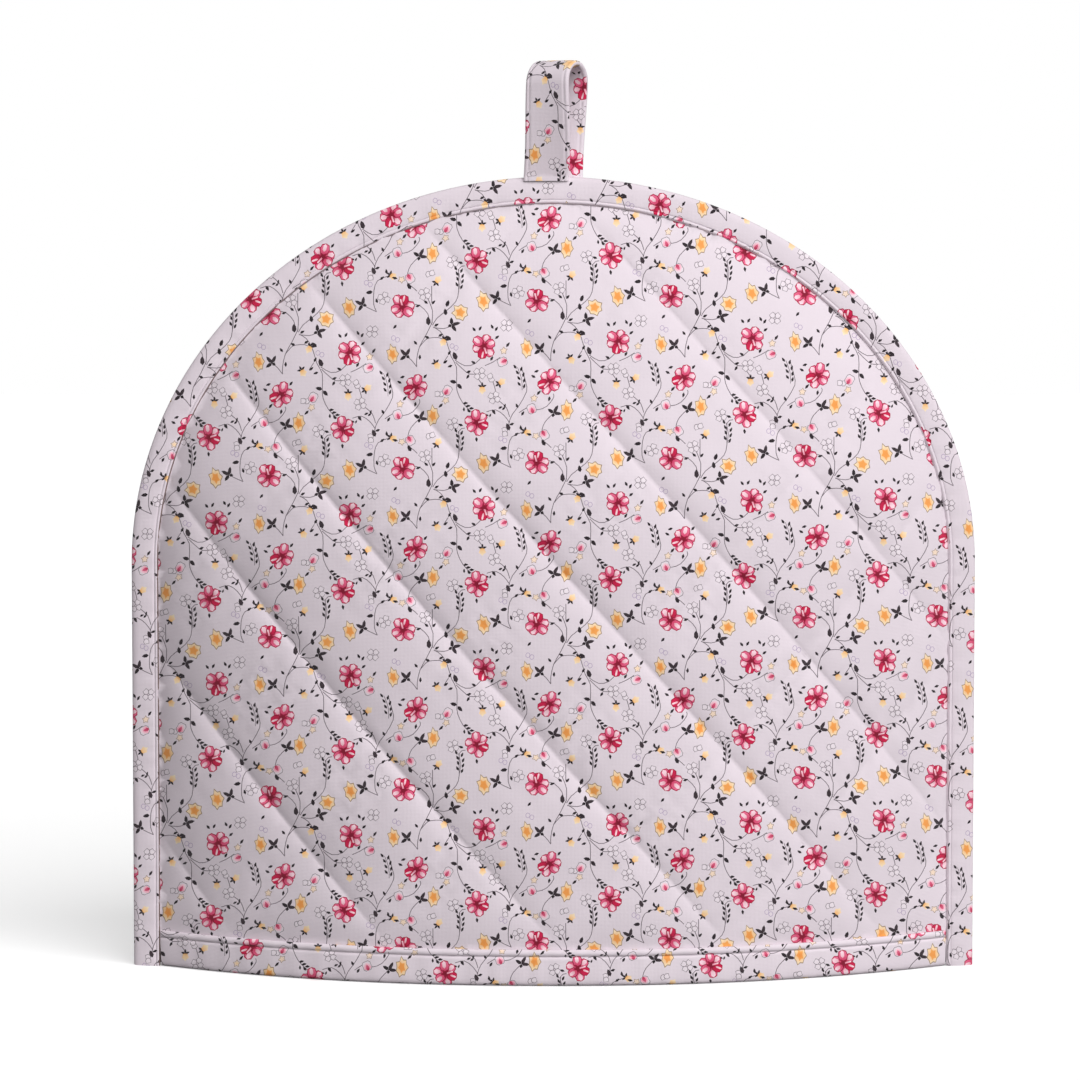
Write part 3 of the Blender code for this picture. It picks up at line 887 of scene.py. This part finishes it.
def edge_tape():
    """The printed front, from lip to fold, with its ply inside the slot, and their mirror."""
    outer = seam_path(BINDING_WIDTH, 0.0, BINDING_STEP)
    border = np.concatenate([outer, seam_path(BINDING_LIP, 0.0, BINDING_STEP)[::-1]])
    rows = [seam_path(out, 0.0, BINDING_STEP) for out in BINDING_CUTS + BINDING_EDGES]
    def inside(x, z):
        out = seam_out(x, z)[0]
        return (out > BINDING_LIP) & (out < BINDING_WIDTH)
    outlines, facts = repeated(border.min(0), border.max(0), TAPE_SHIFT, inside, laid_on)
    flat, triangles, colours = cut_out(border, outlines, facts, rows)
    front, tilts = binding_face(*flat.T)
    out, across, rise = seam_out(*flat.T)
    # Painted shade: the strip along the lip is darkened at the left and fades to the cloth's colour
    # towards the right
    painted_shade_faces = (out[triangles] < EDGE_LINE + 1e-5).all(1)
    fade = np.clip(0.5 + flat[triangles[painted_shade_faces], :1] / WIDTH, 0, 1)
    colours[painted_shade_faces] = PAINTED_SEAM_SHADE * (1 - fade) + np.array(CLOTH) * fade
    edges = open_edges(triangles)
    lip = edges[(out[edges] < BINDING_LIP + 1e-5).all(1)]
    rim, place = np.unique(lip, return_inverse=True)
    mouth = front[rim]
    mouth[:, 1] = -(SLOT + corner_bulk(flat[rim, 1]))
    outwards = np.stack([across[rim], 0 * rim, rise[rim]], 1)
    knee = mouth + outwards * (SLOT_KNEE - BINDING_LIP)
    end = knee + outwards * (SLOT_END - SLOT_KNEE) + (0, SLOT_DROP, 0)
    mirror = np.array([1, -1, 1])
    hidden = tilts[rim] * mirror
    points = np.concatenate([front, mouth, knee, end])
    normals = np.concatenate([tilts, tilts[rim], hidden, hidden])
    half = len(points)
    rings = [place.reshape(-1, 2).T + len(flat) + i * len(rim) for i in range(3)]
    slot = np.concatenate([band(*pair) for pair in zip([lip.T, *rings], rings)])
    bridge = band(rings[-1], rings[-1] + half)
    plain = np.full((len(slot) * 2 + len(bridge), 3, 3), CLOTH)
    back, back_slot = triangles[:, ::-1] + half, slot[:, ::-1] + half
    faces = np.concatenate([triangles, back, slot, back_slot, bridge])
    points, normals = (np.concatenate([rows, rows * mirror]) for rows in (points, normals))
    colours = np.concatenate([colours, colours[:, ::-1], plain])
    return points, faces, colours, normals, (points[:, [0, 2]][faces],)


tape = woven("printed_tape")
edge_binding = add_piece("edge_binding_tape", *edge_tape(), tape, close=True)
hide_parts("edge_binding")
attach(edge_binding, "root")


# --- Hems --------------------------------------------------------------------------------
# The same tape, folded over each panel's lower edge. It is sewn through near its upper
# edge, where it stands up in a small ridge.

HEM_ROWS = (  # (up, depth), from the slot's foot up behind the lip, then down the front
    (0.0024, 0.0026), (0.0025, 0.0038), (0.0036, 0.0042), (0.0090, 0.0042), (0.0134, 0.0043),
    (0.0142, 0.0049), (0.0138, 0.0055), (0.0130, 0.0058), (0.0121, 0.0056), (0.0114, 0.0049),
    (0.0108, 0.0053), (0.0092, 0.0054), (0.0060, 0.0055), (0.0026, 0.0054), (0.0009, 0.0049),
    (0.0001, 0.0037), (0.0000, 0.0024), (0.0003, 0.0010), (0.0012, 0.0001), (0.0050, 0.0000),
    (0.0110, 0.0000), (0.0138, 0.0001), (0.0142, 0.0005), (0.0138, 0.0009), (0.0090, 0.0010),
    (0.0036, 0.0010), (0.0025, 0.0014), (0.0024, 0.0026),
)
HEM_SPANS = 4  # the steps of the curve from each row to the next
HEM_ROUND = smooth(HEM_ROWS, HEM_SPANS)
HEM_ALONG = np.concatenate([[0], np.hypot(*np.diff(HEM_ROUND, axis=0).T).cumsum()])
HEM_HIDDEN = 0.0095  # the length inside the slot, at each end of the section, with no print
HEM_HALF = SEAM_HALF - GAP
HEM_WAVE, HEM_WAVE_LONG = 0.00012, 0.0090
HEM_WAVE_DEEP, HEM_WAVE_FADE = 0.0043, 0.0010  # the front ply alone is puckered
HEM_SHIFT = (-0.0126, -0.0273)
HEM_MARK = 12  # a row on its front
HEM_DROP = HEM_ROWS[HEM_MARK][0] + HEM_ALONG[HEM_MARK * HEM_SPANS]  # from heights to lengths


def hem_face(x, below):
    """Points on the hem at a place along it and a distance, from 0 down, round its section."""
    up = np.interp(-below, HEM_ALONG, HEM_ROUND[:, 0])
    depth = np.interp(-below, HEM_ALONG, HEM_ROUND[:, 1])
    share = np.clip((depth - HEM_WAVE_DEEP) / HEM_WAVE_FADE, 0, 1)
    depth = depth + HEM_WAVE * puckers(x, HEM_WAVE_LONG, 3, 41) * share
    return np.stack([x, -(GAP / 2 + bulge(x, up) + depth), up], 1)


def hem_parts():
    long = HEM_ALONG[-1]
    across = np.linspace(-HEM_HALF, HEM_HALF, 100)
    low = np.stack([across, 0 * across - long], 1)
    high = np.stack([across[::-1], 0 * across], 1)
    border = np.concatenate([low, high])
    rows = [np.stack([across, 0 * across - level], 1) for level in HEM_ALONG[2:-2:2]]
    def inside(x, below):
        return (below < -HEM_HIDDEN) & (below > HEM_HIDDEN - long) & (np.abs(x) < HEM_HALF)
    def laid(place):
        return laid_on(place) - (0, HEM_DROP)
    outlines, facts = repeated((-HEM_HALF, -long), (HEM_HALF, long), HEM_SHIFT, inside, laid)
    flat, triangles, colours = cut_out(border, outlines, facts, rows)
    bake = (flat - border.min(0)) / np.ptp(border, axis=0)
    maps = (flat[triangles], bake[triangles])
    return hem_face(*flat.T), triangles, colours, facing(hem_face, *flat.T), maps


HEM = hem_parts()
front_hem = add_piece("front_hem_tape", *HEM, tape, close=True)
back_hem = add_piece(
    "back_hem_tape", HEM[0] * half_turn, *HEM[1:3], HEM[3] * half_turn, HEM[4], tape, close=True
)
for hem, node, panel in ((front_hem, "front_hem", front_panel), (back_hem, "back_hem", back_panel)):
    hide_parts(node)
    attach(hem, "root")


# --- Hanging loop ------------------------------------------------------------------------
# A short double tape, folded over and sewn down between the ends of the binding at the top.
# It stands open and is twisted a little, so that its inner side shows at the right.

LOOP_WIDTH, LOOP_THICK, LOOP_HEIGHT = 0.0175, 0.0024, 0.0447
LOOP_BEND, LOOP_FOOT = 0.0080, 0.0021
LOOP_SHIFT, LOOP_LEAN, LOOP_TURN = 0.0029, 0.0018, math.radians(-28)
LOOP_SINK = 0.002  # how far the feet run down into the binding's fold
LOOP_STEP = 0.0016
LOOP_ROWS = (0.0, 0.0003, 0.0007, 0.0012, 0.0016, 0.0020, 0.0027, 0.0045, 0.00655, 0.00875)
LOOP_THIN, LOOP_THIN_WIDE = 0.6, 0.0004  # how much thinner it is at an edge, and how near one
STITCH_IN, STITCH_WIDE, STITCH_DEEP = 0.0016, 0.0004, 0.00022
LOOP_PRINT_SHIFT = (-0.0129, -0.0266)
LOOP_FRONT, LOOP_BACK = -0.0028, 0.0045  # the middles of its two legs


def loop_line():
    """The loop's middle line, as (out of its middle plane, height), from its front foot."""
    leg = LOOP_HEIGHT - LOOP_BEND - LOOP_THICK / 2
    rise = np.linspace(0, 1, 24, endpoint=False)
    out = -LOOP_FOOT - (LOOP_BEND - LOOP_FOOT) * np.sin(rise * math.pi / 2)
    turn = np.linspace(0, math.pi, 25)
    legs = np.stack([out, leg * rise], 1)
    bend = np.stack([-LOOP_BEND * np.cos(turn), leg + LOOP_BEND * np.sin(turn)], 1)
    foot = np.array([[-LOOP_FOOT, -LOOP_SINK]])
    return np.concatenate([foot, legs, bend, legs[::-1] * (-1, 1), foot * (-1, 1)])


LOOP_LINE = loop_line()
LOOP_ALONG = np.concatenate([[0], np.hypot(*np.diff(LOOP_LINE, axis=0).T).cumsum()])
LOOP_TILT = 0.0004  # its slope is taken over this distance to each side


def loop_face(side, along, face):
    """A point on the tape's outer face, where face is 1, or its inner one."""
    def line(at):
        return np.array([np.interp(at, LOOP_ALONG, places) for places in LOOP_LINE.T])
    out, height = line(along)
    run, rise = line(along + LOOP_TILT) - line(along - LOOP_TILT)
    size = np.hypot(run, rise)
    run, rise = run / size, rise / size
    share = np.maximum(height, 0) / LOOP_HEIGHT
    turn = LOOP_TURN * share
    cos, sin = np.cos(turn), np.sin(turn)
    shift = LOOP_SHIFT * (2 * along / LOOP_ALONG[-1] - 1) + LOOP_LEAN * share
    inward = LOOP_WIDTH / 2 - np.abs(side)
    seam = STITCH_DEEP * np.exp(-(((inward - STITCH_IN) / STITCH_WIDE) ** 2))
    half = LOOP_THICK / 2 * (1 - LOOP_THIN * np.exp(-inward / LOOP_THIN_WIDE)) - seam
    away, up = out - face * half * rise, height + face * half * run
    return np.stack([
        shift + cos * side - sin * away, sin * side + cos * away, HEIGHT + GAP + up,
    ], 1)


def loop_parts():
    half, long = LOOP_WIDTH / 2, LOOP_ALONG[-1]
    up = np.linspace(0, long, round(long / LOOP_STEP))
    across = np.array(LOOP_ROWS) - half
    across = np.concatenate([across, -across[-2::-1]])
    x, y = np.meshgrid(across[1:-1], up[1:-1])
    border = np.concatenate([
        np.stack([across, 0 * across], 1)[:-1], np.stack([0 * up + half, up], 1)[:-1],
        np.stack([across[::-1], 0 * across + long], 1)[:-1],
        np.stack([0 * up - half, up[::-1]], 1)[:-1],
    ])
    def on_front(x, y):
        return (np.abs(x) < half) & (y > 0) & (y < long / 2)
    def on_back(x, y):
        return (np.abs(x) < half) & (y > long / 2) & (y < long)
    def laid_front(place):
        return place - (LOOP_FRONT, HEIGHT - LOOP_SINK)
    def laid_back(place):
        return (place - (LOOP_BACK, HEIGHT - LOOP_SINK + long)) * (1, -1)
    low, high = (-half, HEIGHT), (half, HEIGHT + long)
    outlines, facts = repeated(low, high, LOOP_PRINT_SHIFT, on_front, laid_front)
    more, more_facts = repeated(low, high, LOOP_PRINT_SHIFT, on_back, laid_back)
    outlines += [outline[::-1] for outline in more]
    facts, lattice = np.concatenate([facts, more_facts]), np.stack([x.ravel(), y.ravel()], 1)
    flat, triangles, colours = cut_out(border, outlines, facts, extra=lattice)
    def outer(x, y):
        return loop_face(x, y, 1)
    def inner(x, y):
        return loop_face(x, y, -1)
    count, edges = len(flat), open_edges(triangles).T
    sides = band(edges, edges + count)
    faces = np.concatenate([triangles, triangles[:, ::-1] + count, sides])
    plain = np.full((len(sides), 3, 3), CLOTH)
    colours = np.concatenate([colours, colours[:, ::-1], plain])
    points = np.concatenate([outer(*flat.T), inner(*flat.T)])
    normals = np.concatenate([facing(outer, *flat.T), facing(inner, *flat.T, -1)])
    return points, faces, colours, normals, (np.concatenate([flat, flat])[faces],)


hanging_loop = add_piece("hanging_loop_tape", *loop_parts(), tape)
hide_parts("hanging_loop")
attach(hanging_loop, "root")
